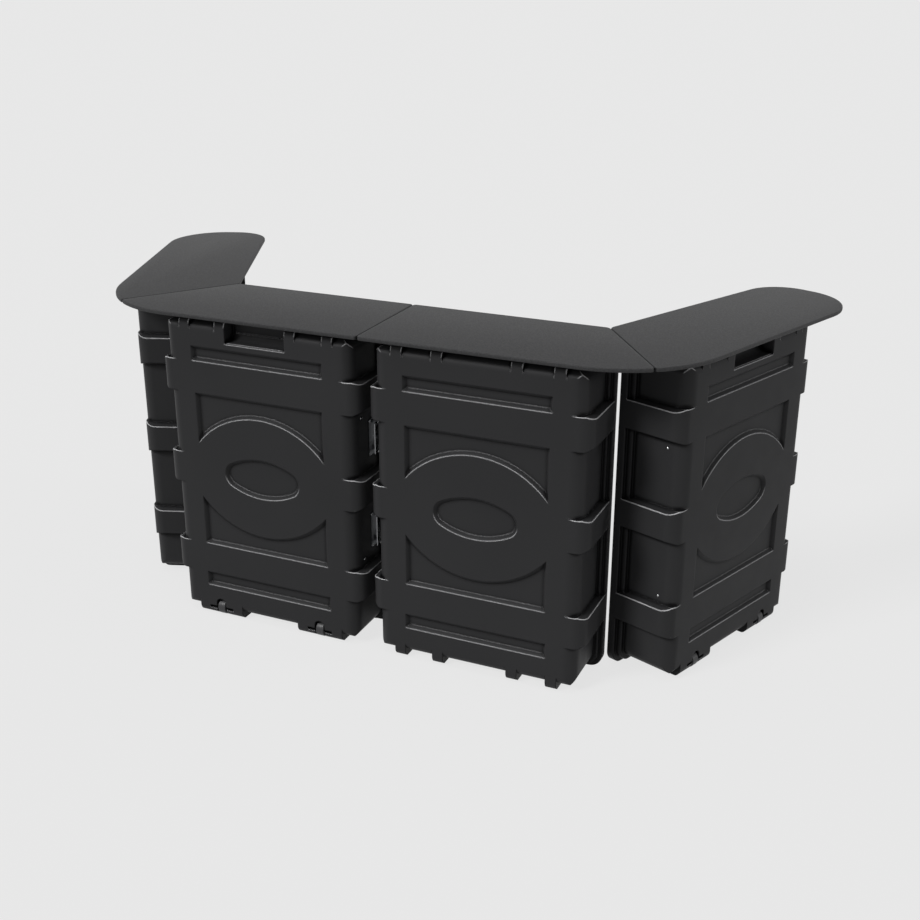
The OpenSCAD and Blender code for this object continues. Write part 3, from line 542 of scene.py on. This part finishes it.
boards = [make_board(number) for number in (1, 2, 3, 4)]
print("boards:", [len(b.data.polygons) for b in boards])

# %% [markdown]
# Rivets repeat, so they come from one Geometry Nodes tree: a domed head and a shank are drawn once
# and set on every point of a small mesh, turned along that point's outward direction.

# %% Rivet tree
RIVET_SIDES, DOME_RINGS = 24, 12
HEAD_RADIUS_MM, HEAD_HEIGHT_MM, SHANK_RADIUS_MM = 4, 1.8, 2
LATCH_GRIP_MM, RAIL_GRIP_MM, KEEPER_GRIP_MM = 6.6, 7.5, 6.6


def length_input(tree, name, millimetres):
    """Adds a length to the tree's inputs, and returns the name that a modifier knows it by."""
    socket = tree.interface.new_socket(name, in_out="INPUT", socket_type="NodeSocketFloat")
    socket.default_value = millimetres * MM
    return socket.identifier


def make_rivet_tree():
    tree = bpy.data.node_groups.new("domed_rivets", "GeometryNodeTree")
    tree.interface.new_socket("Geometry", in_out="INPUT", socket_type="NodeSocketGeometry")
    tree.interface.new_socket("Geometry", in_out="OUTPUT", socket_type="NodeSocketGeometry")
    length_input(tree, "Head radius", HEAD_RADIUS_MM)
    length_input(tree, "Head height", HEAD_HEIGHT_MM)
    length_input(tree, "Shank radius", SHANK_RADIUS_MM)
    grip = length_input(tree, "Grip", LATCH_GRIP_MM)
    given = add(tree, "NodeGroupInput")
    # Dome: a sphere squashed to the height of the head, of which the wall hides the lower half
    ball = add(tree, "GeometryNodeMeshUVSphere", {
        "Segments": RIVET_SIDES, "Rings": DOME_RINGS, "Radius": 1.0})
    size = add(tree, "ShaderNodeCombineXYZ", {
        "X": given.outputs["Head radius"], "Y": given.outputs["Head radius"],
        "Z": given.outputs["Head height"]})
    dome = add(tree, "GeometryNodeTransform", {
        "Geometry": ball.outputs["Mesh"], "Scale": size.outputs[0]})
    shank = add(tree, "GeometryNodeMeshCylinder", {
        "Vertices": RIVET_SIDES, "Radius": given.outputs["Shank radius"],
        "Depth": given.outputs["Grip"]})
    half = add(tree, "ShaderNodeMath", {0: given.outputs["Grip"], 1: -0.5}, operation="MULTIPLY")
    down = add(tree, "ShaderNodeCombineXYZ", {"Z": half.outputs[0]})
    sunk = add(tree, "GeometryNodeTransform", {
        "Geometry": shank.outputs["Mesh"], "Translation": down.outputs[0]})
    rivet = add(tree, "GeometryNodeJoinGeometry")
    for part in (dome, sunk):
        tree.links.new(part.outputs["Geometry"], rivet.inputs[0])
    smooth = add(tree, "GeometryNodeSetShadeSmooth", {"Geometry": rivet.outputs[0]})
    outward = add(tree, "GeometryNodeInputNamedAttribute", {"Name": "outward"},
                  data_type="FLOAT_VECTOR")
    turn = add(tree, "FunctionNodeAlignRotationToVector", {"Vector": outward.outputs["Attribute"]},
               axis="Z")
    placed = add(tree, "GeometryNodeInstanceOnPoints", {
        "Points": given.outputs["Geometry"], "Instance": smooth.outputs[0], "Rotation": turn.outputs[0]})
    real = add(tree, "GeometryNodeRealizeInstances", {"Geometry": placed.outputs[0]})
    finish = add(tree, "GeometryNodeSetMaterial", {"Geometry": real.outputs[0], "Material": rivet_steel})
    add(tree, "NodeGroupOutput", {0: finish})
    return tree, grip


rivet_tree, grip_input = make_rivet_tree()
print("rivet tree:", len(rivet_tree.nodes), "nodes")

# %% [markdown]
# The points come from the frame: each loose part of a rivet node is one rivet. Its longest side is
# its shank, and the head is at the end with the wider ring.

# %% Set the rivets
# Points this near to the widest ring, as a share of its radius, are part of it
RING_SHARE = 0.98


def loose_parts(mesh):
    """Lists of the points of each connected part, always in the same order."""
    tool = bmesh.new()
    tool.from_mesh(mesh)
    seen, parts = set(), []
    for first in tool.verts:
        if first in seen:
            continue
        seen.add(first)
        reached = [first]
        # The list grows while it is walked, until no neighbour is left
        for vertex in reached:
            others = [edge.other_vert(vertex) for edge in vertex.link_edges]
            new = [other for other in others if other not in seen]
            seen.update(new)
            reached.extend(new)
        parts.append([v.co.copy() for v in reached])
    tool.free()
    return parts


def rivet_points(node, number):
    """(place under the head, outward direction) of every rivet of a case."""
    case = case_place(number)
    found = []
    for points in loose_parts(merged_copy(node, case.inverted())):
        centre = sum(points, Vector()) / len(points)
        side = 1 if centre.x > 0 else -1
        widest = max(points, key=lambda p: math.hypot(p.y - centre.y, p.z - centre.z))
        reach = math.hypot(widest.y - centre.y, widest.z - centre.z)
        under = max((side * p.x for p in points
                     if math.hypot(p.y - centre.y, p.z - centre.z) > RING_SHARE * reach))
        found.append((case @ Vector((side * under, centre.y, centre.z)),
                      case.to_3x3() @ Vector((side, 0, 0))))
    return found


def set_rivets(node, number, grip_mm):
    places = rivet_points(node, number)
    mesh = bpy.data.meshes.new(node)
    mesh.from_pydata([p for p, _ in places], [], [])
    outward = mesh.attributes.new("outward", "FLOAT_VECTOR", "POINT")
    for i, (_, direction) in enumerate(places):
        outward.data[i].vector = direction
    piece = object_of("rivet_points", mesh)
    modifier = piece.modifiers.new("rivets", "NODES")
    modifier.node_group = rivet_tree
    modifier[grip_input] = grip_mm * MM
    rivets = object_of(f"domed_{node}", applied(piece))
    finish_piece(rivets, "cases", rivet_steel, [node])
    print(rivets.name, len(places), "rivets")


for number in (2, 4):
    set_rivets(f"latch_rivets_{number}", number, grip_mm=LATCH_GRIP_MM)
    set_rivets(f"rail_rivets_{number}", number, grip_mm=RAIL_GRIP_MM)
for number in (1, 3):
    set_rivets(f"keeper_rivets_{number}", number, grip_mm=KEEPER_GRIP_MM)

# %% [markdown]
# The small parts keep their exact solids, because their shapes are already right, and only get
# their finishes.

# %% Finishes of the pieces that stay
FINISHES = {
    "latch_lever": bright_chrome, "latch_bail": bright_chrome, "latch_plate": zinc_plate,
    "latch_pins": drawn_steel, "keeper_": zinc_plate, "axle": drawn_steel, "cleat_screws": drawn_steel,
    "cleats": birch_plywood, "hub": hub_nylon, "tyre": tyre_rubber, "rail_": mill_aluminium,
}
kept = 0
for name, node in frame["nodes"].items():
    start = next((s for s in FINISHES if name.startswith(s)), None)
    if start and "rivets" not in name:
        node.data.materials.clear()
        node.data.materials.append(FINISHES[start])
        kept += 1
print("finished", kept, "CAD pieces")

# %% [markdown]
# The stage is plain: one pale floor under a pale world. What the camera sees of the floor is mostly
# a fixed pale grey, so that it stays even right to the horizon, and the rest is ordinary paint that
# takes the counter's soft shadow. Mirror-like pieces see the same grey in the world.

# %% Floor and world
BACKGROUND = linear("#ececec")
FLOOR_SIZE = 60.0
FIXED_SHARE = 0.88
WORLD_LIGHT = 0.25
FLOOR_COLOUR, FLOOR_ROUGHNESS = "#d2d2d2", 0.9


def looked_at(tree):
    """1 where the camera, a mirror or glass looks, and 0 where light is gathered."""
    ray = add(tree, "ShaderNodeLightPath")
    mirror = add(tree, "ShaderNodeMath", {
        0: ray.outputs["Is Glossy Ray"], 1: ray.outputs["Is Transmission Ray"]}, operation="MAXIMUM")
    return add(tree, "ShaderNodeMath", {
        0: ray.outputs["Is Camera Ray"], 1: mirror.outputs[0]}, operation="MAXIMUM").outputs[0]


floor_mesh = bpy.data.meshes.new("floor")
floor_corners = [(x * FLOOR_SIZE, y * FLOOR_SIZE, 0) for x, y in ((-1, -1), (1, -1), (1, 1), (-1, 1))]
floor_mesh.from_pydata(floor_corners, [], [(0, 1, 2, 3)])
floor = object_of("floor", floor_mesh)
floor_material, floor_tree, floor_paint, _ = new_material("pale_floor_paint")
floor_paint.inputs["Base Color"].default_value = linear(FLOOR_COLOUR)
floor_paint.inputs["Roughness"].default_value = FLOOR_ROUGHNESS
floor_paint.inputs["Specular IOR Level"].default_value = 0.0
floor_share = add(floor_tree, "ShaderNodeMath", {0: looked_at(floor_tree), 1: FIXED_SHARE},
                  operation="MULTIPLY")
floor_fixed = add(floor_tree, "ShaderNodeEmission", {"Color": BACKGROUND, "Strength": 1.0})
floor_mix = add(floor_tree, "ShaderNodeMixShader", {
    0: floor_share, 1: floor_paint.outputs["BSDF"], 2: floor_fixed.outputs[0]})
floor_output = next(n for n in floor_tree.nodes if n.type == "OUTPUT_MATERIAL")
floor_tree.links.new(floor_mix.outputs[0], floor_output.inputs["Surface"])
floor.data.materials.append(floor_material)

world = bpy.data.worlds.new("studio")
bpy.context.scene.world = world
world.use_nodes = True
world.node_tree.nodes.clear()
lit = add(world.node_tree, "ShaderNodeBackground", {"Color": (1, 1, 1, 1), "Strength": WORLD_LIGHT})
shown = add(world.node_tree, "ShaderNodeBackground", {"Color": BACKGROUND, "Strength": 1.0})
either = add(world.node_tree, "ShaderNodeMixShader", {
    0: looked_at(world.node_tree), 1: lit.outputs[0], 2: shown.outputs[0]})
add(world.node_tree, "ShaderNodeOutputWorld", {"Surface": either.outputs[0]})
print("stage ready")

# %% [markdown]
# The light is a studio's: soft, and even over the whole floor, so the lamps are suns with a wide
# disc. The key stands high in front on the left and lights the lips of the relief that look up,
# which also carry a painted highlight in their material. A weak one on the right fills the right
# hand walls, and one overhead makes the tops paler than the fronts.

# %% Lamps
LAMP_HEIGHT = 3.0


def soft_lamp(name, azimuth, elevation, wide_degrees, strength):
    data = bpy.data.lights.new(name, "SUN")
    data.angle, data.energy = math.radians(wide_degrees), strength
    lamp = bpy.data.objects.new(name, data)
    bpy.context.scene.collection.objects.link(lamp)
    lamp.matrix_world = Matrix.Translation((0, 0, LAMP_HEIGHT)) @ looking_from(azimuth, elevation)


soft_lamp("key_lamp", azimuth=-32, elevation=38, wide_degrees=15, strength=1.9)
soft_lamp("side_lamp", azimuth=100, elevation=12, wide_degrees=8, strength=0.5)
soft_lamp("top_lamp", azimuth=0, elevation=80, wide_degrees=18, strength=0.6)
print("three lamps")
